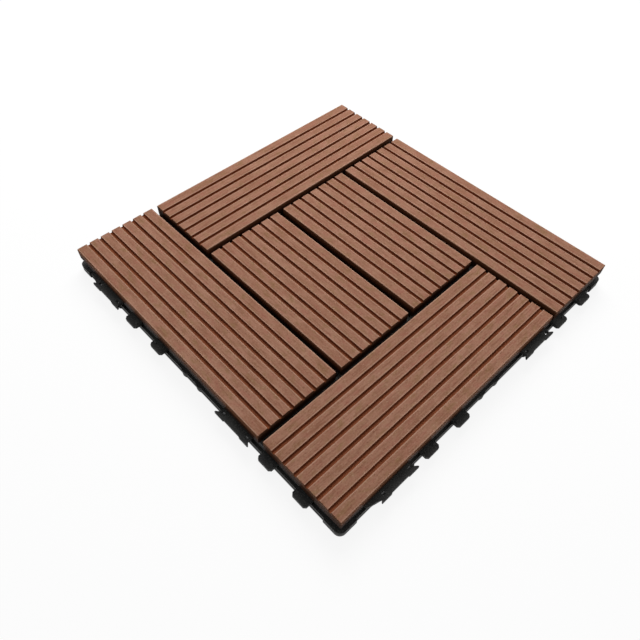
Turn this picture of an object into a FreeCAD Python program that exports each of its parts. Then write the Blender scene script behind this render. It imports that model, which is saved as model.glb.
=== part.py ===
import FreeCAD, Part
import math
import os
import Sketcher
from FreeCAD import Vector

# Interlocking deck tile: six grooved slats of wood composite laid in a pinwheel on a black
# moulded grid base, screwed on from beneath. The origin is the middle of the tile on the
# ground, +Z is up, and the front edge of the tile is the one at -Y. Millimetres.

document = FreeCAD.newDocument("deck_tile")

DRIVING_SIZES = {
    "slat_width": 71,
    "slat_thickness": 10,
    "slat_gap": 5,
    "centre_gap": 6,
    "slat_edge_round": 0.8,
    "groove_count": 6,
    "groove_pitch": 10.2,
    "groove_mouth": 2.8,
    "groove_floor": 1.9,
    "groove_depth": 2,
    "groove_lip": 0.4,
    "base_height": 12,
    "base_inset": 1,
    "base_corner_round": 5,
    "base_wall": 2.2,
    "rib": 1.8,
    "cell_count": 12,
    "foot_height": 2,
    "foot_side": 7,
    "foot_step_cells": 4,
    "foot_count": 3,
    "foot_overhang": 2,
    "corner_foot_side": 15,
    "corner_foot_round": 5,
    "edge_foot_radius": 6,
    "edge_foot_place": 8.5,
    "edge_foot_straight": 4,
    "edge_foot_height": 6,
    "seat_thickness": 3,
    "tile_gap": 6,
    "rim_reach": 2,
    "rim_height": 3,
    "tab_clearance": 0.4,
    "tab_corner_distance": 31,
    "wide_tab_width": 30,
    "wide_tab_thickness": 2.6,
    "wide_tab_wing": 2.2,
    "tab_recess": 0.6,
    "tab_recess_end": 7,
    "finger_width": 13,
    "finger_thickness": 3,
    "finger_spread": 3,
    "finger_chamfer": 1.6,
    "wing_depth": 2.5,
    "wing_blunt": 0.8,
    "tab_level_clearance": 0.2,
    "barb_inset": 4.3,
    "barb_width": 2.5,
    "barb_length": 1.2,
    "barb_height": 1.2,
    "window_clearance": 0.35,
    "gusset_reach": 3,
    "gusset_foot": 4,
    "corner_web_length": 12,
    "corner_web_start": 2,
    "corner_web_reach": 5,
    "screw_shank": 3,
    "screw_length": 10,
    "screw_head_width": 7,
    "screw_head_height": 2.2,
    "seat_hole_clearance": 0.4,
    "pilot_clearance": 0.05,
    "pilot_spare_depth": 0.4,
}

DERIVED_SIZES = {
    "tile_half": "2 * Sizes.slat_width + Sizes.slat_gap + Sizes.centre_gap / 2",
    "slat_half_width": "Sizes.slat_width / 2",
    "long_length": "2 * tile_half - Sizes.slat_width - Sizes.slat_gap",
    "short_length": "2 * tile_half - 2 * (Sizes.slat_width + Sizes.slat_gap)",
    "long_middle": "(Sizes.slat_width + Sizes.slat_gap) / 2",
    "long_row": "tile_half - slat_half_width",
    "short_row": "(Sizes.centre_gap + Sizes.slat_width) / 2",
    "long_length_half": "long_length / 2",
    "short_length_half": "short_length / 2",
    "top_edge_half": "slat_half_width - Sizes.slat_edge_round",
    "shoulder_height": "Sizes.slat_thickness - Sizes.slat_edge_round",
    "first_groove": "Sizes.groove_pitch * (Sizes.groove_count - 1) / 2",
    "groove_floor_half": "Sizes.groove_floor / 2",
    "groove_mouth_half": "Sizes.groove_mouth / 2",
    "groove_lip_half": "groove_mouth_half + Sizes.groove_lip",
    "groove_floor_height": "Sizes.slat_thickness - Sizes.groove_depth",
    "groove_lip_height": "Sizes.slat_thickness - Sizes.groove_lip",
    "base_half": "tile_half - Sizes.base_inset",
    "base_straight_half": "base_half - Sizes.base_corner_round",
    "base_inner_half": "base_half - Sizes.base_wall",
    "grid_height": "Sizes.base_height - Sizes.foot_height",
    "cell_half": "(base_inner_half - (Sizes.cell_count - 1) * Sizes.rib / 2) / Sizes.cell_count",
    "cell_pitch": "2 * cell_half + Sizes.rib",
    "grid_reach": "cell_pitch * (Sizes.cell_count - 1) / 2",
    "rib_half": "Sizes.rib / 2",
    "seat_half": "cell_half + rib_half",
    "seat_underside": "Sizes.base_height - Sizes.seat_thickness",
    "seat_hole_flat": "Sizes.screw_shank / 2 + Sizes.seat_hole_clearance",
    "seat_hole_corner": "seat_hole_flat / cos(30 deg)",
    "seat_hole_corner_half": "seat_hole_corner / 2",
    "screw_row": "grid_reach - cell_pitch",
    "screw_inner": "grid_reach - 4 * cell_pitch",
    "foot_half": "Sizes.foot_side / 2",
    "foot_step": "Sizes.foot_step_cells * cell_pitch",
    "foot_reach": "foot_step * (Sizes.foot_count - 1) / 2",
    "foot_joined_height": "Sizes.foot_height + Sizes.rib",
    "foot_edge": "tile_half + Sizes.foot_overhang",
    "corner_foot_back": "foot_edge - Sizes.corner_foot_side",
    "corner_foot_straight": "foot_edge - Sizes.corner_foot_round",
    "edge_foot_row": "foot_edge - Sizes.edge_foot_radius",
    "edge_foot_back": "edge_foot_row - Sizes.edge_foot_straight",
    "rim_half": "base_half + Sizes.rim_reach",
    "tab_spacing": "Sizes.wide_tab_width + Sizes.finger_spread",
    "tab_tip": "tile_half + Sizes.tile_gap + Sizes.base_inset - Sizes.tab_clearance",
    "wing_start": "tab_tip - Sizes.wing_depth",
    "wing_end": "tab_tip - Sizes.wing_blunt",
    "finger_corner": "tab_tip - Sizes.finger_chamfer",
    "wide_tab_place": "tile_half - Sizes.tab_corner_distance - 2 * tab_spacing",
    "far_wide_tab_place": "wide_tab_place + 1.5 * tab_spacing",
    "wide_tab_half": "Sizes.wide_tab_width / 2",
    "recess_half": "wide_tab_half - Sizes.tab_recess_end",
    "recess_row": "tab_tip - Sizes.tab_recess",
    "wide_tab_underside": "Sizes.base_height - Sizes.wide_tab_thickness",
    "finger_half": "Sizes.finger_width / 2",
    "finger_tip_half": "finger_half - Sizes.finger_chamfer",
    "finger_top": "wide_tab_underside - Sizes.tab_level_clearance",
    "finger_underside": "finger_top - Sizes.finger_thickness",
    "barb_half_width": "Sizes.barb_width / 2",
    "barb_row": "tile_half + Sizes.tile_gap / 2",
    "barb_start": "barb_row - Sizes.barb_length / 2",
    "barb_end": "barb_row + Sizes.barb_length / 2",
    "barb_crest_height": "finger_top + Sizes.barb_height",
    "window_place": "tab_spacing / 2 - Sizes.barb_inset",
    "window_half_width": "barb_half_width + Sizes.window_clearance",
    "window_start": "barb_start - Sizes.window_clearance",
    "window_end": "barb_end + Sizes.window_clearance",
    "gusset_end": "tile_half + Sizes.gusset_reach",
    "corner_web_near": "tile_half + Sizes.corner_web_start",
    "corner_web_far": "tile_half + Sizes.corner_web_reach",
    "screw_shank_radius": "Sizes.screw_shank / 2",
    "screw_point": "seat_underside + Sizes.screw_length",
    "screw_head_radius": "Sizes.screw_head_width / 2",
    "screw_head_face": "seat_underside - Sizes.screw_head_height",
    "pilot_flat": "screw_shank_radius + Sizes.pilot_clearance",
    "pilot_corner": "pilot_flat / cos(30 deg)",
    "pilot_corner_half": "pilot_corner / 2",
    "pilot_depth": "screw_point - Sizes.base_height + Sizes.pilot_spare_depth",
    "long_hole_row": "long_row - screw_row",
    "long_hole_outer": "grid_reach - long_middle",
    "long_hole_far": "screw_inner + long_middle",
    "short_hole_row": "screw_inner - short_row",
}

QUARTER_TURN = 90
FULL_TURN = 360
SIDES = 4


def write_sheet(name, cells):
    """A sheet with one named cell a row."""
    sheet = document.addObject("Spreadsheet::Sheet", name)
    for row, (alias, content) in enumerate(cells.items(), start=1):
        sheet.set(f"A{row}", alias)
        sheet.set(f"B{row}", str(content))
        sheet.setAlias(f"B{row}", alias)
    return sheet


sizes = write_sheet("Sizes", DRIVING_SIZES)
derived = write_sheet("Derived", {alias: f"={formula}" for alias, formula in DERIVED_SIZES.items()})
document.recompute()


class Measure:
    """A sum of named sizes: its number now, and the formula that keeps it true."""

    def __init__(self, *names):
        self.number = 0.0
        self.formula = "0"
        for name in names:
            sign = "-" if name.startswith("-") else "+"
            alias = name.lstrip("-")
            home = sizes if alias in DRIVING_SIZES else derived
            value = float(getattr(home, alias))
            self.number += -value if sign == "-" else value
            self.formula += f" {sign} {home.Name}.{alias}"

    def drive(self, thing, property_path):
        thing.setExpression(property_path, self.formula)


ZERO = Measure()


def new_body(label):
    body = document.addObject("PartDesign::Body", label)
    body.Label = label
    return body


def origin_part(body, role):
    """One of the body's own planes or axes."""
    return next(part for part in body.Origin.OriginFeatures if part.Role == role)


def new_sketch(body, name, plane, offset=ZERO):
    """An empty sketch on one of the body's planes, moved along the plane's normal."""
    sketch = body.newObject("Sketcher::SketchObject", name)
    sketch.AttachmentSupport = [(origin_part(body, plane), "")]
    sketch.MapMode = "FlatFace"
    offset.drive(sketch, "AttachmentOffset.Base.z")
    return sketch


def fix_point(sketch, geometry, point, across, up):
    for kind, measure in (("DistanceX", across), ("DistanceY", up)):
        constraint = Sketcher.Constraint(kind, -1, 1, geometry, point, measure.number)
        index = sketch.addConstraint(constraint)
        measure.drive(sketch, f"Constraints[{index}]")


def draw_outline(sketch, corners):
    """A closed outline of straight edges through corners given as pairs of measures."""
    first = sketch.GeometryCount
    count = len(corners)
    points = [Vector(across.number, up.number, 0) for across, up in corners]
    for start, end in zip(points, points[1:] + points[:1]):
        sketch.addGeometry(Part.LineSegment(start, end), False)
    for place in range(count):
        following = (place + 1) % count
        sketch.addConstraint(Sketcher.Constraint("Coincident", first + place, 2, first + following, 1))
    for place, (across, up) in enumerate(corners):
        fix_point(sketch, first + place, 1, across, up)


def draw_rectangle(sketch, left, right, low, high):
    draw_outline(sketch, [(left, low), (right, low), (right, high), (left, high)])


def draw_rounded(sketch, corners, middle, arc_span):
    """Straight edges through the corners, then an arc about the middle back to the first."""
    points = [Vector(across.number, up.number, 0) for across, up in corners]
    centre = Vector(middle[0].number, middle[1].number, 0)
    first = sketch.GeometryCount
    for start, end in zip(points, points[1:]):
        sketch.addGeometry(Part.LineSegment(start, end), False)
    circle = Part.Circle(centre, Vector(0, 0, 1), centre.distanceToPoint(points[0]))
    arc = sketch.addGeometry(Part.ArcOfCircle(circle, *arc_span), False)
    for place in range(len(points) - 2):
        sketch.addConstraint(Sketcher.Constraint("Coincident", first + place, 2, first + place + 1, 1))
    sketch.addConstraint(Sketcher.Constraint("Coincident", arc - 1, 2, arc, 1))
    sketch.addConstraint(Sketcher.Constraint("Coincident", arc, 2, first, 1))
    for place, (across, up) in enumerate(corners[:-1]):
        fix_point(sketch, first + place, 1, across, up)
    fix_point(sketch, arc - 1, 2, *corners[-1])
    index = sketch.addConstraint(Sketcher.Constraint("DistanceY", -1, 1, arc, 3, middle[1].number))
    middle[1].drive(sketch, f"Constraints[{index}]")


def draw_tongue(sketch, across, back, row, radius):
    """A straight-sided tongue from the back to the row, with a half circle beyond it."""
    left, right, row = Measure(across, "-" + radius), Measure(across, radius), Measure(row)
    corners = [(right, row), (right, Measure(back)), (left, Measure(back)), (left, row)]
    draw_rounded(sketch, corners, (Measure(across), row), (math.pi, 2 * math.pi))


def draw_corner_square(sketch, inner, straight, outer):
    """A square in the corner at -X and -Y, with its outer corner rounded."""
    inner, straight, outer = Measure(inner), Measure(straight), Measure(outer)
    corners = [(straight, outer), (inner, outer), (inner, inner), (outer, inner), (outer, straight)]
    draw_rounded(sketch, corners, (straight, straight), (math.pi, 1.5 * math.pi))


def draw_hexagon(sketch, across, up, hole):
    """A six-sided hole; its sizes are named after the hole."""
    corner, half, flat = hole + "_corner", hole + "_corner_half", hole + "_flat"
    outline = [(Measure(across, corner), Measure(up)),
               (Measure(across, half), Measure(up, flat)),
               (Measure(across, "-" + half), Measure(up, flat)),
               (Measure(across, "-" + corner), Measure(up)),
               (Measure(across, "-" + half), Measure(up, "-" + flat)),
               (Measure(across, half), Measure(up, "-" + flat))]
    draw_outline(sketch, outline)


def add_pad(body, name, sketch, length):
    pad = body.newObject("PartDesign::Pad", name)
    pad.Profile = sketch
    length.drive(pad, "Length")
    return pad


def add_cut(body, name, sketch, length=None):
    """A pocket along the sketch's normal, right through where no length is given."""
    pocket = body.newObject("PartDesign::Pocket", name)
    pocket.Profile = sketch
    pocket.Reversed = True
    if length:
        length.drive(pocket, "Length")
    else:
        pocket.Type = "ThroughAll"
    return pocket


def repeat_in_row(body, name, features, axis, length, occurrences):
    pattern = body.newObject("PartDesign::LinearPattern", name)
    pattern.Originals = features
    pattern.Direction = (origin_part(body, axis), [""])
    length.drive(pattern, "Length")
    pattern.setExpression("Occurrences", occurrences)
    body.Tip = pattern
    return pattern


def repeat_in_square(body, name, features, length, occurrences):
    """The same row along X repeated along Y."""
    pattern = repeat_in_row(body, name, features, "X_Axis", length, occurrences)
    pattern.Direction2 = (origin_part(body, "Y_Axis"), [""])
    length.drive(pattern, "Length2")
    pattern.setExpression("Occurrences2", occurrences)
    return pattern


def repeat_on_sides(body, name, features):
    """The features of the front edge, turned to all four edges."""
    pattern = body.newObject("PartDesign::PolarPattern", name)
    pattern.Originals = features
    pattern.Axis = (origin_part(body, "Z_Axis"), [""])
    pattern.Angle = FULL_TURN
    pattern.Occurrences = SIDES
    body.Tip = pattern
    return pattern


def build_slat(label, length, holes, quarter_turns, across, along):
    """One extruded slat along its own X, grooved on top and drilled from below."""
    body = new_body(label)
    width_left, width_right = Measure("-slat_half_width"), Measure("slat_half_width")
    top_left, top_right = Measure("-top_edge_half"), Measure("top_edge_half")
    shoulder, top = Measure("shoulder_height"), Measure("slat_thickness")
    slat_end = Measure("-" + length + "_half")

    section = new_sketch(body, label + "_section", "YZ_Plane", slat_end)
    draw_outline(section, [(width_left, ZERO), (width_right, ZERO), (width_right, shoulder),
                           (top_right, top), (top_left, top), (width_left, shoulder)])
    add_pad(body, label + "_bar", section, Measure(length))

    groove = new_sketch(body, label + "_groove", "YZ_Plane", slat_end)
    floor, lip = Measure("groove_floor_height"), Measure("groove_lip_height")
    half_section = [("groove_floor_half", floor), ("groove_mouth_half", lip), ("groove_lip_half", top)]
    right = [(Measure("-first_groove", half), height) for half, height in half_section]
    left = [(Measure("-first_groove", "-" + half), height) for half, height in half_section]
    draw_outline(groove, right + left[::-1])
    first_groove = add_cut(body, label + "_first_groove", groove)
    document.recompute()
    repeat_in_row(body, label + "_grooves", [first_groove], "Y_Axis",
                  Measure("first_groove", "first_groove"), "Sizes.groove_count")

    drilling = new_sketch(body, label + "_drilling", "XY_Plane")
    for hole_across, hole_up in holes:
        draw_hexagon(drilling, hole_across, hole_up, "pilot")
    add_cut(body, label + "_pilot_holes", drilling, Measure("pilot_depth"))

    body.Placement.Rotation = FreeCAD.Rotation(Vector(0, 0, 1), quarter_turns * QUARTER_TURN)
    across.drive(body, "Placement.Base.x")
    along.drive(body, "Placement.Base.y")
    Measure("base_height").drive(body, "Placement.Base.z")
    return body


# The screws of the front quarter of the tile, as the sizes that place each one across the
# tile and along it; the other three quarters are the same, turned.
QUARTER_SCREWS = [
    ("-grid_reach", "-screw_row"),
    ("screw_inner", "-screw_row"),
    ("screw_inner", "-screw_inner"),
]


def build_grid(body):
    """The open grid: a square with a thin outer wall and rounded corners, full of cells."""
    outline = new_sketch(body, "grid_outline", "XY_Plane", Measure("foot_height"))
    near, far = Measure("-base_half"), Measure("base_half")
    draw_rectangle(outline, near, far, near, far)
    block = add_pad(body, "grid_block", outline, Measure("grid_height"))
    document.recompute()
    upright = [f"Edge{place}" for place, edge in enumerate(block.Shape.Edges, start=1)
               if abs(edge.tangentAt(edge.FirstParameter).z) > 0.5]
    rounding = body.newObject("PartDesign::Fillet", "grid_corners")
    rounding.Base = (block, upright)
    Measure("base_corner_round").drive(rounding, "Radius")
    document.recompute()

    cell = new_sketch(body, "first_cell", "XY_Plane", Measure("foot_height"))
    low, high = Measure("-grid_reach", "-cell_half"), Measure("-grid_reach", "cell_half")
    draw_rectangle(cell, low, high, low, high)
    first_cell = add_cut(body, "first_cell_cut", cell, Measure("grid_height"))
    document.recompute()
    repeat_in_square(body, "cells", [first_cell], Measure("grid_reach", "grid_reach"), "Sizes.cell_count")


def build_seats(body):
    """Closed cells, each with a hole for the screw that holds a slat down."""
    webs = new_sketch(body, "seat_webs", "XY_Plane", Measure("seat_underside"))
    for across, along in QUARTER_SCREWS:
        draw_rectangle(webs, Measure(across, "-seat_half"), Measure(across, "seat_half"),
                       Measure(along, "-seat_half"), Measure(along, "seat_half"))
        draw_hexagon(webs, across, along, "seat_hole")
    first_webs = add_pad(body, "first_seats", webs, Measure("seat_thickness"))
    repeat_on_sides(body, "seats", [first_webs])


def build_feet(body):
    """Square feet under the crossings of the ribs."""
    pad = new_sketch(body, "foot", "XY_Plane")
    low, high = Measure("-foot_reach", "-foot_half"), Measure("-foot_reach", "foot_half")
    draw_rectangle(pad, low, high, low, high)
    first_foot = add_pad(body, "first_foot", pad, Measure("foot_joined_height"))
    repeat_in_square(body, "feet", [first_foot], Measure("foot_reach", "foot_reach"), "Sizes.foot_count")


WIDE_TABS = ["wide_tab_place", "-far_wide_tab_place"]

# Each finger as the sizes that place it along the edge, and the sign of the way to the
# finger that it is paired with.
FINGERS = [
    (("wide_tab_place", "tab_spacing"), ""),
    (("wide_tab_place", "tab_spacing", "tab_spacing"), "-"),
    (("-far_wide_tab_place", "tab_spacing"), ""),
    (("-far_wide_tab_place", "tab_spacing", "tab_spacing"), "-"),
]


def build_wide_tabs(body):
    """Wide tabs with a shallow recess between two wings, two snap windows and a gusset beneath."""
    root, wing, tip = Measure("-base_inner_half"), Measure("-wing_start"), Measure("-tab_tip")
    blunt = Measure("-wing_end")
    tabs = new_sketch(body, "wide_tabs", "XY_Plane", Measure("wide_tab_underside"))
    features = [add_pad(body, "first_wide_tabs", tabs, Measure("wide_tab_thickness"))]
    for place in WIDE_TABS:
        left, right = Measure(place, "-wide_tab_half"), Measure(place, "wide_tab_half")
        wing_left = Measure(place, "-wide_tab_half", "-wide_tab_wing")
        wing_right = Measure(place, "wide_tab_half", "wide_tab_wing")
        lobe_left = Measure(place, "-recess_half", "-tab_recess")
        lobe_right = Measure(place, "recess_half", "tab_recess")
        recess = Measure("-recess_row")
        draw_outline(tabs, [(left, root), (left, wing), (wing_left, blunt), (wing_left, tip),
                            (lobe_left, tip), (Measure(place, "-recess_half"), recess),
                            (Measure(place, "recess_half"), recess), (lobe_right, tip),
                            (wing_right, tip), (wing_right, blunt), (right, wing), (right, root)])
        for side in ("-window_place", "window_place"):
            draw_rectangle(tabs, Measure(place, side, "-window_half_width"),
                           Measure(place, side, "window_half_width"),
                           Measure("-window_end"), Measure("-window_start"))

        gusset = new_sketch(body, "gusset", "YZ_Plane", Measure(place, "-rib_half"))
        underside = Measure("wide_tab_underside")
        draw_outline(gusset, [(root, Measure("gusset_foot")), (Measure("-gusset_end"), underside),
                              (root, underside)])
        features.append(add_pad(body, "first_gusset", gusset, Measure("rib")))

    web = new_sketch(body, "corner_web", "XY_Plane", Measure("wide_tab_underside"))
    tab_side = Measure("-far_wide_tab_place", "-wide_tab_half")
    start = Measure("-far_wide_tab_place", "-wide_tab_half", "-corner_web_length")
    draw_outline(web, [(start, root), (start, Measure("-corner_web_near")),
                       (tab_side, Measure("-corner_web_far")), (tab_side, root)])
    features.append(add_pad(body, "first_corner_web", web, Measure("wide_tab_thickness")))
    repeat_on_sides(body, "wide_tabs_and_webs", features)


def build_edge_feet(body):
    """Low feet at the corners and beside the middle of each edge, and the rim between them."""
    feet = new_sketch(body, "edge_feet", "XY_Plane")
    draw_corner_square(feet, "-corner_foot_back", "-corner_foot_straight", "-foot_edge")
    for place in ("-edge_foot_place", "edge_foot_place"):
        draw_tongue(feet, place, "-edge_foot_back", "-edge_foot_row", "edge_foot_radius")
    first_feet = add_pad(body, "first_edge_feet", feet, Measure("edge_foot_height"))

    rim = new_sketch(body, "rim", "XY_Plane", Measure("foot_height"))
    draw_rectangle(rim, Measure("-base_straight_half"), Measure("base_straight_half"),
                   Measure("-rim_half"), Measure("-base_inner_half"))
    first_rim = add_pad(body, "first_rim", rim, Measure("rim_height"))
    repeat_on_sides(body, "all_edge_feet", [first_feet, first_rim])


def build_fingers(body):
    """Fingers that reach under the wide tabs of the next tile, each with a barb on top."""
    root, corner, tip = Measure("-base_inner_half"), Measure("-finger_corner"), Measure("-tab_tip")
    fingers = new_sketch(body, "fingers", "XY_Plane", Measure("finger_underside"))
    features = [add_pad(body, "first_fingers", fingers, Measure("finger_thickness"))]
    for place, inward in FINGERS:
        left, right = Measure(*place, "-finger_half"), Measure(*place, "finger_half")
        tip_left, tip_right = Measure(*place, "-finger_tip_half"), Measure(*place, "finger_tip_half")
        draw_outline(fingers, [(left, root), (left, corner), (tip_left, tip),
                               (tip_right, tip), (right, corner), (right, root)])

        barb_side, top = Measure(*place, inward + "barb_inset", "-barb_half_width"), Measure("finger_top")
        barb = new_sketch(body, "barb", "YZ_Plane", barb_side)
        draw_outline(barb, [(Measure("-barb_end"), top), (Measure("-barb_start"), top),
                            (Measure("-barb_start"), Measure("barb_crest_height"))])
        features.append(add_pad(body, "first_barb", barb, Measure("barb_width")))
    repeat_on_sides(body, "all_fingers", features)


def build_screws(body):
    """Pan head screws driven up through the seats into the slats."""
    face, seat, point = Measure("screw_head_face"), Measure("seat_underside"), Measure("screw_point")
    head, shank = Measure("screw_head_radius"), Measure("screw_shank_radius")
    outline = [(ZERO, face), (head, face), (head, seat), (shank, seat), (shank, point), (ZERO, point)]
    screws = []
    for across, along in QUARTER_SCREWS:
        section = new_sketch(body, "screw_section", "XZ_Plane", Measure(along.lstrip("-")))
        Measure(across).drive(section, "AttachmentOffset.Base.x")
        draw_outline(section, outline)
        screw = body.newObject("PartDesign::Revolution", "first_screw")
        screw.Profile = section
        screw.ReferenceAxis = (section, ["V_Axis"])
        screw.Angle = FULL_TURN
        screws.append(screw)
    repeat_on_sides(body, "all_screws", screws)


grid = new_body("grid")
build_grid(grid)
supports = new_body("seats_and_feet")
build_seats(supports)
build_feet(supports)
connectors = new_body("edge_connectors")
build_wide_tabs(connectors)
build_fingers(connectors)
build_edge_feet(connectors)
base_grid = document.addObject("Part::MultiFuse", "base_grid")
base_grid.Label = "base_grid"
base_grid.Shapes = [grid, supports, connectors]
base_grid.Refine = True

slat_screws = new_body("slat_screws")
build_screws(slat_screws)

long_holes = [("-long_hole_outer", "long_hole_row"), ("long_hole_far", "long_hole_row")]
short_holes = [("-screw_inner", "-short_hole_row"), ("screw_inner", "-short_hole_row")]
slats = [
    build_slat("front_slat", "long_length", long_holes, 0, Measure("-long_middle"), Measure("-long_row")),
    build_slat("right_slat", "long_length", long_holes, 1, Measure("long_row"), Measure("-long_middle")),
    build_slat("back_slat", "long_length", long_holes, 2, Measure("long_middle"), Measure("long_row")),
    build_slat("left_slat", "long_length", long_holes, 3, Measure("-long_row"), Measure("long_middle")),
    build_slat("front_centre_slat", "short_length", short_holes, 0, ZERO, Measure("-short_row")),
    build_slat("back_centre_slat", "short_length", short_holes, 2, ZERO, Measure("short_row")),
]
document.recompute()

for thing in document.Objects:
    if "Invalid" in thing.State or "Error" in thing.State:
        raise RuntimeError(f"{thing.Name} did not recompute: {thing.State}")

os.makedirs("parts", exist_ok=True)
for body in [base_grid, slat_screws] + slats:
    shape = body.Shape
    if shape.isNull() or not shape.isValid():
        raise RuntimeError(f"{body.Label} has no valid shape")
    shape.exportStep(f"parts/{body.Label}.step")
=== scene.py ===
import math

import bmesh
import bpy
import numpy as np
from mathutils import Matrix, Vector


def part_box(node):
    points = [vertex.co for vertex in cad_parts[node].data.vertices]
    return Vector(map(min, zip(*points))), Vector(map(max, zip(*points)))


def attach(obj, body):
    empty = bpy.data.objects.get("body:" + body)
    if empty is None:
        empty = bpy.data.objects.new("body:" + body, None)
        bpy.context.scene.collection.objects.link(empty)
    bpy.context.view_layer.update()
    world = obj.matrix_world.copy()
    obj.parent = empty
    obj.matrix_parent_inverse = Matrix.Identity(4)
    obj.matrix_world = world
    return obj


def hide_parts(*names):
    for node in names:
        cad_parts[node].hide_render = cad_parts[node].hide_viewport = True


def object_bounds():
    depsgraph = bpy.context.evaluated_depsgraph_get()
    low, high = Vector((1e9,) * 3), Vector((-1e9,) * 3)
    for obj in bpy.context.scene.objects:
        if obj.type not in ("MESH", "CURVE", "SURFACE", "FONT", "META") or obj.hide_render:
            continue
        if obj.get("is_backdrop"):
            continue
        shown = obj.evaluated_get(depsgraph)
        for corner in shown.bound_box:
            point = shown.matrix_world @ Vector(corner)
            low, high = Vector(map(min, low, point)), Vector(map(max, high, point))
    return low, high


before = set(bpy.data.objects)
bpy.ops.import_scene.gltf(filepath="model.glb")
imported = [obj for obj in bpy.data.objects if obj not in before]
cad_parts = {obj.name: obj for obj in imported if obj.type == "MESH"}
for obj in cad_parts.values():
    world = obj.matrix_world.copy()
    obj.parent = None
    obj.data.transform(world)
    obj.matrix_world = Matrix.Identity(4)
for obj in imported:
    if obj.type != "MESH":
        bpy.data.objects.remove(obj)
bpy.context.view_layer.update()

# The six slats: wood and plastic composite, extruded with grooves, brushed matt on top and
# sawn off at the ends. They lie in a pinwheel on the grid and are screwed on from beneath.
MM = 0.001
SLAT_WIDTH = 71 * MM
SLAT_THICKNESS = 10 * MM
SLAT_EDGE_ROUND = 0.8 * MM
SLAT_FOOT_ROUND = 0.3 * MM
SLAT_END_ROUND = 0.25 * MM
SIDE_FROM = 0.49 * SLAT_WIDTH
GROOVE_COUNT = 6
GROOVE_PITCH = 10.2 * MM
GROOVE_MOUTH = 2.8 * MM
GROOVE_FLOOR = 1.9 * MM
GROOVE_DEPTH = 2 * MM
GROOVE_LIP_ROUND = 0.4 * MM
GROOVE_FLOOR_ROUND = 0.35 * MM
RUB_AND_HIGHLIGHT_BAND = 1.3 * MM
STATION_SPACING = 4 * MM
EDGE_WANDER = 0.035 * MM
FLAT_FACE_WEIGHT = 60

# At the sawn ends the section is lifted and lowered by these shares of their rounding.
END_FOOT_LIFT, END_TOP_DROP = 0.5, 0.6

# How late a side or a groove shows over a rounded edge, and how much of its rub and painted
# highlight is lost there.
SKIN_FADE, RUB_AND_HIGHLIGHT_LOSS = 1.5, 0.75

# Each kind of corner in the section: its radius and the steps of its arc.
CORNER_ROUNDS = {
    "foot": (SLAT_FOOT_ROUND, 2), "floor": (GROOVE_FLOOR_ROUND, 2),
    "lip_down": (GROOVE_LIP_ROUND, 4), "lip_up": (GROOVE_LIP_ROUND, 4),
    "edge_up": (SLAT_EDGE_ROUND, 4), "edge_down": (SLAT_EDGE_ROUND, 4)}

# The waves of an edge's wander: radians per millimetre, multiple of its phase, and share.
WANDER_WAVES = ((0.031, 1.0, 0.5), (0.083, 2.3, 0.3), (0.21, 3.7, 0.2))

# What the slats' finish reads from their points and faces, each from 0 to 1.
POINT_TRAITS = ("groove", "side", "rubbed")
FACE_TRAITS = ("sawn", "gap_shade")


def round_corner(before, corner, after, radius, steps):
    """Points on the arc that rounds a corner of an outline."""
    corner = np.array(corner, float)
    into = np.array(before, float) - corner
    out = np.array(after, float) - corner
    into /= np.linalg.norm(into)
    out /= np.linalg.norm(out)
    half_angle = math.acos(np.clip(into @ out, -1, 1)) / 2
    middle = corner + (into + out) / np.linalg.norm(into + out) * radius / math.sin(half_angle)
    first = corner + into * radius / math.tan(half_angle) - middle
    last = corner + out * radius / math.tan(half_angle) - middle
    swing = math.acos(np.clip(first @ last / radius ** 2, -1, 1))
    points = []
    for share in np.linspace(0, 1, steps + 1):
        arm = math.sin((1 - share) * swing) * first + math.sin(share * swing) * last
        points.append(tuple(middle + arm / math.sin(swing)))
    return points


def slat_corners():
    """The section's corners anticlockwise, as (point, kind). A flat one ends a band that is rubbed
    pale and carries a painted highlight.
    """
    half, top, floor = SLAT_WIDTH / 2, SLAT_THICKNESS, SLAT_THICKNESS - GROOVE_DEPTH
    corners = [((-half, 0), "foot"), ((half, 0), "foot"), ((half, top), "edge_up"),
               ((half - RUB_AND_HIGHLIGHT_BAND, top), "flat")]
    for groove in range(GROOVE_COUNT):
        middle = GROOVE_PITCH * ((GROOVE_COUNT - 1) / 2 - groove)
        for side, lip in ((1, "lip_down"), (-1, "lip_up")):
            wall = [((middle + side * (GROOVE_MOUTH / 2 + RUB_AND_HIGHLIGHT_BAND), top), "flat"),
                    ((middle + side * GROOVE_MOUTH / 2, top), lip),
                    ((middle + side * GROOVE_FLOOR / 2, floor), "floor")]
            corners += wall[::side]
    return corners + [((-half + RUB_AND_HIGHLIGHT_BAND, top), "flat"), ((-half, top), "edge_down")]


def slat_outline():
    """The rounded section, as (across, up, point traits) for each point."""
    corners = slat_corners()
    outline = []
    for number, (corner, kind) in enumerate(corners):
        if kind == "flat":
            outline.append((*corner, {}))
            continue
        before, after = corners[number - 1][0], corners[(number + 1) % len(corners)][0]
        radius, steps = CORNER_ROUNDS[kind]
        for step, point in enumerate(round_corner(before, corner, after, radius, steps)):
            if kind in ("foot", "floor"):
                traits = {"side" if kind == "foot" else "groove": 1.0}
            else:
                below = step / steps if kind.endswith("down") else 1 - step / steps
                traits = {"groove" if kind.startswith("lip") else "side": below ** SKIN_FADE,
                          "rubbed": 1 - RUB_AND_HIGHLIGHT_LOSS * below}
            outline.append((*point, traits))
    return outline


def wander(place, phase):
    """A small smooth wobble along the length, as a die and a brush leave it."""
    return sum(math.sin(place * pace / MM + phase * turn) * share
               for pace, turn, share in WANDER_WAVES)


def loop_places(count):
    """Each place on a closed loop, with the place after it."""
    return [(place, (place + 1) % count) for place in range(count)]


def add_to_scene(name, data):
    piece = bpy.data.objects.new(name, data)
    bpy.context.scene.collection.objects.link(piece)
    return piece


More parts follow.
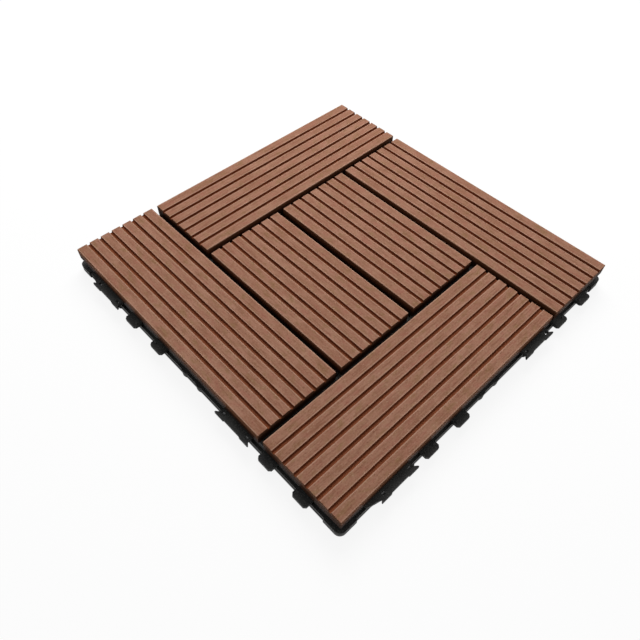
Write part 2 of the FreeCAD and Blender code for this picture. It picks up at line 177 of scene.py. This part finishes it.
def solid_mesh(name, mesh):
    """Turns a closed bmesh into mesh data, with its faces looking outwards."""
    bmesh.ops.recalc_face_normals(mesh, faces=mesh.faces)
    data = bpy.data.meshes.new(name)
    mesh.to_mesh(data)
    mesh.free()
    return data


def build_slat(name, length, between_others, seed):
    """A slat along its own X, with its underside at height 0. Its right end and its far side
    face a gap, and where it lies between the others, both ends and both sides do."""
    half = length / 2
    outline = slat_outline()
    phases = np.random.default_rng(seed).uniform(0, 2 * math.pi, len(outline))
    inner = np.linspace(SLAT_END_ROUND - half, half - SLAT_END_ROUND,
                        round(length / STATION_SPACING))
    mesh = bmesh.new()
    on_points = {trait: mesh.verts.layers.float.new(trait) for trait in POINT_TRAITS}
    on_faces = {trait: mesh.faces.layers.float.new(trait) for trait in FACE_TRAITS}
    rings = []
    for along in (-half, *inner, half):
        inset = 0 if abs(along) < half else SLAT_END_ROUND
        ring = []
        for (across, up, traits), phase in zip(outline, phases):
            wobble = EDGE_WANDER * wander(along, phase) * traits.get("rubbed", 0)
            if abs(across) > SIDE_FROM:
                across -= math.copysign(inset, across)
            # An edge along the top wanders down but not up, and the ends are drawn in all round.
            height = max(up + min(wobble, inset), inset * END_FOOT_LIFT)
            height = min(height, SLAT_THICKNESS - inset * END_TOP_DROP)
            point = mesh.verts.new((along, across + wobble, height))
            for trait, amount in traits.items():
                point[on_points[trait]] = amount
            ring.append(point)
        rings.append(ring)
    for here, there in zip(rings, rings[1:]):
        for place, following in loop_places(len(outline)):
            mesh.faces.new((here[place], there[place], there[following], here[following]))
    for end in (rings[0], rings[-1][::-1]):
        mesh.faces.new(end)[on_faces["sawn"]] = 1.0
    # The faces that face a gap are marked for painted shade in the finish.
    for face in mesh.faces:
        along, across, _ = face.calc_center_median()
        if between_others:
            along, across = abs(along), abs(across)
        faces_gap = along > half - SLAT_END_ROUND or across > SIDE_FROM
        face[on_faces["gap_shade"]] = float(faces_gap)
    data = solid_mesh(name, mesh)
    data.shade_smooth()
    slat = add_to_scene(name, data)
    slat.modifiers.new("flat_faces", "WEIGHTED_NORMAL").weight = FLAT_FACE_WEIGHT
    return slat


class Wire:
    """One output of a finish's node. Arithmetic on it adds Math nodes."""

    def __init__(self, finish, socket):
        self.finish = finish
        self.socket = socket

    def __add__(self, other):
        return self.finish.maths("ADD", self, other)

    def __radd__(self, other):
        return self.finish.maths("ADD", other, self)

    def __sub__(self, other):
        return self.finish.maths("SUBTRACT", self, other)

    def __rsub__(self, other):
        return self.finish.maths("SUBTRACT", other, self)

    def __mul__(self, other):
        return self.finish.maths("MULTIPLY", self, other)

    def __rmul__(self, other):
        return self.finish.maths("MULTIPLY", other, self)

    def __abs__(self):
        return self.finish.maths("ABSOLUTE", self)

    def window(self, low, high):
        """0 up to low, 1 from high on, and smooth between them."""
        return self.finish.node("MapRange", {"interpolation_type": "SMOOTHSTEP"}, {
            "Value": self, "From Min": low, "From Max": high})["Result"]

    def tint(self, low, high):
        """The colour that goes from low to high as this goes from 0 to 1."""
        return self.finish.node("Mix", {"data_type": "RGBA"}, {
            "Factor": self, "A": low, "B": high})["Result"]

    def stain(self, under, colour, low, high, share):
        """Puts a colour over the one under it, up to a share, as this goes from low to high."""
        return (self.window(low, high) * share).tint(under, colour)


class Finish:
    """The shader nodes of one material, or of the room."""

    def __init__(self, owner, output="OutputMaterial"):
        self.owner = owner
        owner.use_nodes = True
        owner.node_tree.nodes.clear()
        self.output = owner.node_tree.nodes.new("ShaderNode" + output)

    def node(self, kind, settings=None, sockets=None):
        """Adds a node: first its settings, then the value or the link of each socket."""
        made = self.owner.node_tree.nodes.new("ShaderNode" + kind)
        for name, value in (settings or {}).items():
            setattr(made, name, value)
        for socket, value in (sockets or {}).items():
            entry = made.inputs[socket] if isinstance(socket, int) else next(
                entry for entry in made.inputs if entry.enabled and entry.name == socket)
            if isinstance(value, Wire):
                self.owner.node_tree.links.new(value.socket, entry)
            else:
                entry.default_value = value
        return {output.name: Wire(self, output) for output in made.outputs if output.enabled}

    def maths(self, operation, *values):
        return self.node("Math", {"operation": operation}, dict(enumerate(values)))["Value"]

    def noise(self, place, scale, detail, roughness, seed):
        return self.node("TexNoise", {"noise_dimensions": "4D"}, {
            "Vector": place, "W": seed, "Scale": scale, "Detail": detail,
            "Roughness": roughness})["Fac"]

    def grain(self, place, per_metre, detail, roughness, seed):
        """Noise whose scale differs along the three axes."""
        drawn_out = self.node("Mapping", {}, {"Vector": place, "Scale": per_metre})["Vector"]
        return self.noise(drawn_out, scale=1.0, detail=detail, roughness=roughness, seed=seed)

    def bump(self, height, distance, strength):
        return self.node("Bump", {}, {
            "Height": height, "Distance": distance, "Strength": strength})["Normal"]

    def show(self, shader):
        self.owner.node_tree.links.new(shader.socket, self.output.inputs["Surface"])
        return self.owner


BROWN = (0.352, 0.164, 0.103, 1)
BROWN_PALE = (0.428, 0.219, 0.146, 1)
BROWN_DEEP = (0.225, 0.094, 0.052, 1)
PINK_BROWN = (0.385, 0.158, 0.108, 1)
OLIVE_BROWN = (0.300, 0.165, 0.080, 1)
# The pale colour of the edges: rub, and a painted highlight.
RUB_AND_HIGHLIGHT_BROWN = (0.640, 0.420, 0.310, 1)
FLECK_PALE = (0.540, 0.350, 0.240, 1)
FLECK_DARK = (0.140, 0.052, 0.028, 1)
GROOVE_BROWN = (0.280, 0.084, 0.033, 1)
GROOVE_DEEP = (0.195, 0.056, 0.022, 1)
SIDE_BROWN = (0.390, 0.155, 0.072, 1)
SIDE_DEEP = (0.270, 0.102, 0.046, 1)
SIDE_PAINTED_SHADE = (0.040, 0.017, 0.010, 1)
SAWN_BROWN = (0.280, 0.118, 0.062, 1)
SAWN_DUST = (0.380, 0.200, 0.120, 1)
SLAT_RELIEF = 0.18 * MM
BATCH_SPREAD = 40.0

# The heights between which a side and a sawn end go from painted shade to their own colour, and
# the share of painted shade that a gap takes.
SIDE_DARK, SIDE_LIT = 0.30 * SLAT_THICKNESS, 0.85 * SLAT_THICKNESS
END_DARK, END_LIT = 0.40 * SLAT_THICKNESS, 0.90 * SLAT_THICKNESS
GAP_PAINTED_SHADE = 0.45


def composite_finish():
    finish = Finish(bpy.data.materials.new("slat_composite"))
    place = finish.node("TexCoord")["Object"]
    height = finish.node("SeparateXYZ", {}, {"Vector": place})["Z"]
    batch = finish.node("ObjectInfo")["Random"] * BATCH_SPREAD
    groove, side, rubbed, sawn, gap_shade = (
        finish.node("Attribute", {"attribute_name": trait})["Fac"]
        for trait in POINT_TRAITS + FACE_TRAITS)

    clouds = finish.noise(place, 60.0, detail=3.0, roughness=0.6, seed=batch)
    hues = finish.grain(place, (110, 210, 210), detail=2.0, roughness=0.6, seed=batch + 19.0)
    streaks = finish.grain(place, (70, 950, 950), detail=3.0, roughness=0.65, seed=batch + 3.0)
    bristles = finish.grain(place, (330, 2600, 2600), detail=2.0, roughness=0.5, seed=batch + 7.0)
    speckle = finish.grain(place, (620, 900, 900), detail=2.0, roughness=0.7, seed=batch + 11.0)
    flour = finish.grain(place, (330, 760, 760), detail=1.0, roughness=0.4, seed=batch + 29.0)
    saw_marks = finish.grain(place, (300, 1500, 120), detail=2.0, roughness=0.6, seed=batch + 41.0)

    # The brushed top, whose edges are rubbed pale, with a painted highlight along them.
    brushed = clouds.window(0.30, 0.70).tint(BROWN, BROWN_PALE)
    brushed = hues.stain(brushed, PINK_BROWN, low=0.50, high=0.72, share=0.75)
    brushed = (1 - hues).stain(brushed, OLIVE_BROWN, low=0.50, high=0.72, share=0.75)
    brushed = streaks.stain(brushed, BROWN_DEEP, low=0.42, high=0.75, share=0.70)
    brushed = speckle.stain(brushed, FLECK_PALE, low=0.52, high=0.78, share=0.50)
    brushed = (1 - speckle).stain(brushed, FLECK_DARK, low=0.52, high=0.78, share=0.55)
    brushed = flour.stain(brushed, FLECK_PALE, low=0.70, high=0.76, share=0.35)
    # Along the edges: paler from rub and from a painted highlight.
    brushed = (rubbed * rubbed * (0.22 + 0.65 * bristles)).tint(brushed, RUB_AND_HIGHLIGHT_BROWN)

    # The grooves keep the darker skin of the die.
    in_groove = clouds.window(0.3, 0.7).tint(GROOVE_BROWN, GROOVE_DEEP)
    in_groove = bristles.stain(in_groove, BROWN_DEEP, low=0.5, high=0.8, share=0.35)

    # The sides and the sawn ends, with painted shade towards the foot and where they face a gap.
    on_side = streaks.window(0.3, 0.7).tint(SIDE_BROWN, SIDE_DEEP)
    on_side = speckle.stain(on_side, BROWN, low=0.60, high=0.80, share=0.3)
    on_side = height.window(SIDE_DARK, SIDE_LIT).tint(SIDE_PAINTED_SHADE, on_side)
    on_end = saw_marks.window(0.35, 0.70).tint(SAWN_BROWN, SAWN_DUST)
    on_end = speckle.stain(on_end, FLECK_DARK, low=0.55, high=0.75, share=0.5)
    on_end = height.window(END_DARK, END_LIT).tint(SIDE_PAINTED_SHADE, on_end)
    upright = (gap_shade * GAP_PAINTED_SHADE).tint(sawn.tint(on_side, on_end), SIDE_PAINTED_SHADE)

    colour = side.tint(groove.tint(brushed, in_groove), upright)
    relief = streaks * 0.45 + bristles * 0.35 + speckle * 0.20
    return finish.show(finish.node("BsdfPrincipled", {}, {
        "Base Color": sawn.tint(colour, upright),
        "Roughness": 0.74 - (groove + side) * 0.16 + (streaks - 0.5) * 0.2,
        "Normal": finish.bump(relief, SLAT_RELIEF, 0.7),
        "Specular IOR Level": 0.04})["BSDF"])


# Each slat's node, the axis of its length, and its quarter turns.
SLATS = [("front_slat", 0, 0), ("right_slat", 1, 1), ("back_slat", 0, 2), ("left_slat", 1, 3),
         ("front_centre_slat", 0, 0), ("back_centre_slat", 0, 2)]
slat_finish = composite_finish()
for seed, (node, long_axis, quarter_turns) in enumerate(SLATS, start=1):
    low, high = (Vector(corner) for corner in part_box(node))
    slat = build_slat("grooved_" + node, (high - low)[long_axis], "centre" in node, seed)
    middle = (low + high) / 2
    slat.matrix_world = (Matrix.Translation((middle.x, middle.y, low.z))
                         @ Matrix.Rotation(quarter_turns * math.pi / 2, 4, "Z"))
    slat.data.materials.append(slat_finish)
    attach(slat, "root")
    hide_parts(node)

# The grid: black polypropylene, moulded in one shot with its ribs, feet, tabs and fingers. Its
# faces have the fine even texture of a spark-eroded mould, and its edges are slightly soft.
GRID_BLACK = (0.007, 0.007, 0.007, 1)
GRID_FLOW_AND_SHEEN_GREY = (0.034, 0.035, 0.033, 1)
GRID_SCUFF_AND_SHEEN = (0.120, 0.118, 0.112, 1)
GRID_DUST = (0.160, 0.148, 0.130, 1)
GRID_RELIEF = 0.30 * MM
GRID_WELD = 0.01 * MM
GRID_EDGE_ROUND = 0.25 * MM
GRID_EDGE_STEPS = 2
GRID_EDGE_ANGLE = math.radians(35)
FOOT_WEAR_HEIGHT = 0.5 * MM


def grid_finish():
    finish = Finish(bpy.data.materials.new("grid_plastic"))
    place = finish.node("TexCoord")["Object"]
    height = finish.node("SeparateXYZ", {}, {"Vector": place})["Z"]
    flow = finish.noise(place, 90.0, detail=4.0, roughness=0.6, seed=0.0)
    spark = finish.noise(place, 900.0, detail=4.0, roughness=0.7, seed=5.0)
    scratches = finish.grain(place, (900, 160, 400), detail=3.0, roughness=0.6, seed=9.0)
    dust = finish.noise(place, 210.0, detail=5.0, roughness=0.7, seed=13.0)
    worn = (1 - height.window(0.0, FOOT_WEAR_HEIGHT)) * dust.window(0.35, 0.60)
    # Grey mottle and pale speckle: flow marks and the spark-eroded face, partly a painted sheen.
    colour = flow.window(0.36, 0.70).tint(GRID_BLACK, GRID_FLOW_AND_SHEEN_GREY)
    colour = spark.stain(colour, GRID_SCUFF_AND_SHEEN, low=0.50, high=0.68, share=0.50)
    colour = scratches.stain(colour, GRID_SCUFF_AND_SHEEN, low=0.64, high=0.74, share=0.30)
    colour = dust.stain(colour, GRID_DUST, low=0.60, high=0.75, share=0.12)
    colour = (worn * 0.6).tint(colour, GRID_SCUFF_AND_SHEEN)
    return finish.show(finish.node("BsdfPrincipled", {}, {
        "Base Color": colour,
        "Roughness": 0.40 + 0.20 * flow + 0.12 * spark + 0.15 * worn,
        "Normal": finish.bump(spark * 0.7 + scratches * 0.3, GRID_RELIEF, 0.9),
        "Specular IOR Level": 0.19})["BSDF"])


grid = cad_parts["base_grid"]
grid.material_slots[0].material = grid_finish()
grid.modifiers.new("weld", "WELD").merge_threshold = GRID_WELD
soften = grid.modifiers.new("soften", "BEVEL")
soften.width = GRID_EDGE_ROUND
soften.segments = GRID_EDGE_STEPS
soften.limit_method = "ANGLE"
soften.angle_limit = GRID_EDGE_ANGLE

# The screws: zinc plated steel with pan heads and cross recesses. They are driven up through
# the grid's seats, three into each quarter of the tile, and their threads hold the slats down.
SCREW_PLACES = [(-135.4 * MM, -110.8 * MM), (36.9 * MM, -110.8 * MM), (36.9 * MM, -36.9 * MM)]
SCREW_FACE, SCREW_SEAT, SCREW_POINT = 6.8 * MM, 9 * MM, 19 * MM
RECESS_DEPTH = 1.5 * MM
THREAD_RADIUS, THREAD_CORE, THREAD_PITCH = 1.5 * MM, 1.1 * MM, 1.3 * MM
THREAD_SHARE = 0.5
THREAD_STEP = 0.2 * MM
TIP_LENGTH = 1.6 * MM
TIP_TAPER, TIP_BLUNTNESS = 0.8, 0.06
SHARP_FROM = math.radians(40)
SPIN_SEED = 11
NEARLY_NOTHING = 1e-9

# The recess as (reach, half width, depth) and the head as (radius, depth), in millimetres.
SCREW_RECESS = [(1.25, 0.30, 1.35), (1.85, 0.52, 0.08), (1.95, 0.60, 0.0)]
SCREW_HEAD = [(2.3, 0.0), (2.75, 0.10), (3.1, 0.30), (3.35, 0.60), (3.5, 1.05), (3.5, 2.05),
              (3.38, 2.2)]

# The directions of the points round a screw, closer together where the recess turns.
SCREW_TURNS = [math.radians(quarter * 90 + step) for quarter in range(4)
               for step in (0, 8, 16.5, 25, 35, 45, 55, 65, 73.5, 82)]
ZINC_BRIGHT = (0.62, 0.62, 0.60, 1)
ZINC_DULL = (0.44, 0.43, 0.41, 1)
ZINC_STAIN = (0.30, 0.27, 0.22, 1)
ZINC_RELIEF = 0.02 * MM


def recess_reach(angle, reach, half_width):
    """How far a cross recess reaches from the screw's middle in one direction."""
    cosine, sine = abs(math.cos(angle)), abs(math.sin(angle))
    return max(min(reach / max(lengthwise, NEARLY_NOTHING),
                   half_width / max(crosswise, NEARLY_NOTHING))
               for lengthwise, crosswise in ((cosine, sine), (sine, cosine)))


def thread_radius(height, angle):
    """The shank's radius. A sharp ridge, whose foot takes its share of the pitch, winds round
    the core, and both fade into the tip."""
    from_tip = min((SCREW_POINT - height) / TIP_LENGTH, 1)
    from_head = min((height - SCREW_SEAT) / THREAD_PITCH, 1)
    turn = (height / THREAD_PITCH - angle / (2 * math.pi)) % 1
    ridge = max(0, 1 - abs(turn - 0.5) * 2 / THREAD_SHARE) * from_head
    radius = THREAD_CORE + (THREAD_RADIUS - THREAD_CORE) * ridge
    return radius * max(from_tip ** TIP_TAPER, TIP_BLUNTNESS)


def screw_profile():
    """The screw from the foot of its recess, over the head and up the thread, as (height,
    radius in each direction)."""
    around = len(SCREW_TURNS)
    profile = [(SCREW_FACE + depth * MM,
                [recess_reach(turn, reach * MM, half_width * MM) for turn in SCREW_TURNS])
               for reach, half_width, depth in SCREW_RECESS]
    profile += [(SCREW_FACE + depth * MM, [radius * MM] * around) for radius, depth in SCREW_HEAD]
    profile.append((SCREW_SEAT, [THREAD_CORE] * around))
    profile += [(height, [thread_radius(height, turn) for turn in SCREW_TURNS])
                for height in np.arange(SCREW_SEAT + THREAD_STEP, SCREW_POINT, THREAD_STEP)]
    return profile


def add_screw(mesh, profile, across, along, spin):
    loops = [[mesh.verts.new((across + radius * math.cos(turn + spin),
                              along + radius * math.sin(turn + spin), height))
              for turn, radius in zip(SCREW_TURNS, radii)]
             for height, radii in profile]
    bottom = mesh.verts.new((across, along, SCREW_FACE + RECESS_DEPTH))
    tip = mesh.verts.new((across, along, SCREW_POINT))
    for place, following in loop_places(len(SCREW_TURNS)):
        for here, there in zip(loops, loops[1:]):
            mesh.faces.new((here[place], here[following], there[following], there[place]))
        mesh.faces.new((loops[0][following], loops[0][place], bottom))
        mesh.faces.new((loops[-1][place], loops[-1][following], tip))


def zinc_finish():
    finish = Finish(bpy.data.materials.new("screw_zinc"))
    place = finish.node("TexCoord")["Object"]
    clouds = finish.noise(place, 700.0, detail=3.0, roughness=0.6, seed=0.0)
    pores = finish.noise(place, 4200.0, detail=2.0, roughness=0.5, seed=4.0)
    tarnish = finish.noise(place, 260.0, detail=4.0, roughness=0.7, seed=8.0)
    colour = clouds.window(0.3, 0.7).tint(ZINC_BRIGHT, ZINC_DULL)
    colour = tarnish.stain(colour, ZINC_STAIN, low=0.58, high=0.72, share=0.5)
    return finish.show(finish.node("BsdfPrincipled", {}, {
        "Base Color": colour,
        "Roughness": 0.26 + 0.22 * clouds + 0.10 * pores,
        "Normal": finish.bump(pores, ZINC_RELIEF, 0.5),
        "Metallic": 1.0})["BSDF"])


screw_mesh = bmesh.new()
profile = screw_profile()
spins = np.random.default_rng(SPIN_SEED)
for quarter in range(4):
    for across, along in SCREW_PLACES:
        seat = Matrix.Rotation(quarter * math.pi / 2, 4, "Z") @ Vector((across, along, 0))
        add_screw(screw_mesh, profile, seat.x, seat.y, spins.uniform(0, math.pi / 2))
screw_data = solid_mesh("pan_head_screws", screw_mesh)
screw_data.set_sharp_from_angle(angle=SHARP_FROM)
screw_data.materials.append(zinc_finish())
screws = add_to_scene("pan_head_screws", screw_data)
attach(screws, "root")
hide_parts("slat_screws")

# The studio: a pale paper floor and a white backdrop, a broad soft lamp behind on the left,
# which leaves the two near sides in shade, a weaker one above, and a faint even fill.
FLOOR_HALF = 6.0
FLOOR_PAINT = (0.14, 0.14, 0.14, 1)
FLOOR_GLOW = (0.885, 0.885, 0.885, 1)
FAR_GLOW = (1, 1, 1, 1)
FAR_START, FAR_END = 0.5, 1.6
NO_GLOW = (0, 0, 0, 1)
WHITE = (1, 1, 1, 1)
FILL_STRENGTH, BACKDROP_STRENGTH = 0.17, 1.0

# The painted shade on the floor under the tile: half its width, how softly it ends, and how round
# its corners are. Under the wide tabs it reaches further out. They stand at these places along a
# side, from its middle, and the shade leans as far along from them as the camera looks in under
# them.
SHADE_HALF = 150.9 * MM
SHADE_FADE = 0.7 * MM
SHADE_CORNER = 1.2 * MM
TAB_MIDDLES = (53 * MM, -102.5 * MM)
TAB_HALF = 14 * MM
TAB_FADE = 2 * MM
TAB_LEAN = 5.5 * MM
TAB_SHADE = 1.2 * MM

# Each lamp's place, the length of its sides in metres, and its watts.
LAMPS = {"lamp_behind": ((-0.42, 0.44, 0.78), 0.7, 8.4),
         "lamp_above": ((0.0, 0.1, 1.5), 1.2, 2.6)}


def seen_directly(finish):
    """1 for the rays by which the camera, metal and glass see a surface, and 0 for its light."""
    ray = finish.node("LightPath")
    rays = ray["Is Camera Ray"] + ray["Is Glossy Ray"] + ray["Is Transmission Ray"]
    return rays.window(0.0, 1.0)


def beyond_tile(finish, spot):
    """How far out a spot of the floor lies, as half the width of a square with its corners
    cut, and 1 where the floor is clear of the tile, 0 beneath it."""
    across, along = abs(spot["X"]), abs(spot["Y"])
    out = finish.maths("MAXIMUM", across, along)
    out = finish.maths("MAXIMUM", out, (across + along) * 0.5 + SHADE_CORNER)
    front_or_back = finish.maths("GREATER_THAN", along, across)
    right_or_left = 1 - front_or_back
    past_middle = (right_or_left * spot["Y"] * finish.maths("SIGN", spot["X"])
                   - front_or_back * spot["X"] * finish.maths("SIGN", spot["Y"]))
    past_middle = past_middle + (2 * front_or_back - 1) * TAB_LEAN
    under_tab = 0
    for tab in TAB_MIDDLES:
        under_tab += 1 - abs(past_middle - tab).window(TAB_HALF, TAB_HALF + TAB_FADE)
    return out, (out - under_tab * TAB_SHADE).window(SHADE_HALF, SHADE_HALF + SHADE_FADE)


def floor_finish():
    """Pale paper. It looks evenly lit but for the tile's shadow, has painted shade beneath the
    tile, and is clear from underneath."""
    finish = Finish(bpy.data.materials.new("floor_paper"))
    spot = finish.node("SeparateXYZ", {}, {"Vector": finish.node("TexCoord")["Object"]})
    out, open_floor = beyond_tile(finish, spot)
    glow = out.window(FAR_START, FAR_END).tint(FLOOR_GLOW, FAR_GLOW)
    # Beneath the tile the glow is left out, which paints shade there.
    glow = (seen_directly(finish) * open_floor).tint(NO_GLOW, glow)
    paper = finish.node("BsdfPrincipled", {}, {
        "Base Color": FLOOR_PAINT, "Roughness": 1.0, "Specular IOR Level": 0.0,
        "Emission Color": glow, "Emission Strength": 1.0})["BSDF"]
    clear = finish.node("BsdfTransparent")["BSDF"]
    underneath = finish.node("NewGeometry")["Backfacing"]
    return finish.show(finish.node("MixShader", {}, {0: underneath, 1: paper, 2: clear})["Shader"])


floor_mesh = bpy.data.meshes.new("floor")
floor_mesh.from_pydata([(across * FLOOR_HALF, along * FLOOR_HALF, 0) for across, along in
                        ((-1, -1), (1, -1), (1, 1), (-1, 1))], [], [(0, 1, 2, 3)])
floor_mesh.materials.append(floor_finish())
floor = add_to_scene("floor", floor_mesh)
floor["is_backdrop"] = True

for name, (place, size, watts) in LAMPS.items():
    lamp = bpy.data.lights.new(name, "AREA")
    lamp.shape = "SQUARE"
    lamp.size = size
    lamp.energy = watts
    holder = add_to_scene(name, lamp)
    holder.location = place
    holder.rotation_mode = "QUATERNION"
    holder.rotation_quaternion = Vector(place).to_track_quat("Z", "Y")

world = bpy.data.worlds.new("studio")
bpy.context.scene.world = world
room = Finish(world, "OutputWorld")
fill = room.node("Background", {}, {"Color": WHITE, "Strength": FILL_STRENGTH})["Background"]
backdrop = room.node("Background", {}, {
    "Color": WHITE, "Strength": BACKDROP_STRENGTH})["Background"]
room.show(room.node("MixShader", {}, {0: seen_directly(room), 1: fill, 2: backdrop})["Shader"])

# The camera: it stands over the near corner, at the photograph's place and angle, which come
# from the slats' edges in the photograph. It rolls a little, as a camera held by hand does.
CAMERA_PLACE = (216.85 * MM, -240.16 * MM, 366.90 * MM)
CAMERA_HEADING = math.radians(44.855)
CAMERA_TILT = math.radians(36.952)
CAMERA_ROLL = math.radians(1.792)
CAMERA_LENS, CAMERA_SENSOR = 32.96, 36

camera_data = bpy.data.cameras.new("camera")
camera_data.lens = CAMERA_LENS
camera_data.sensor_width = CAMERA_SENSOR
camera = add_to_scene("camera", camera_data)
camera.matrix_world = (Matrix.Translation(CAMERA_PLACE)
                       @ Matrix.Rotation(CAMERA_HEADING, 4, "Z")
                       @ Matrix.Rotation(CAMERA_TILT, 4, "X")
                       @ Matrix.Rotation(CAMERA_ROLL, 4, "Z"))
bpy.context.scene.camera = camera
bpy.context.scene.view_settings.view_transform = "Standard"

low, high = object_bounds()
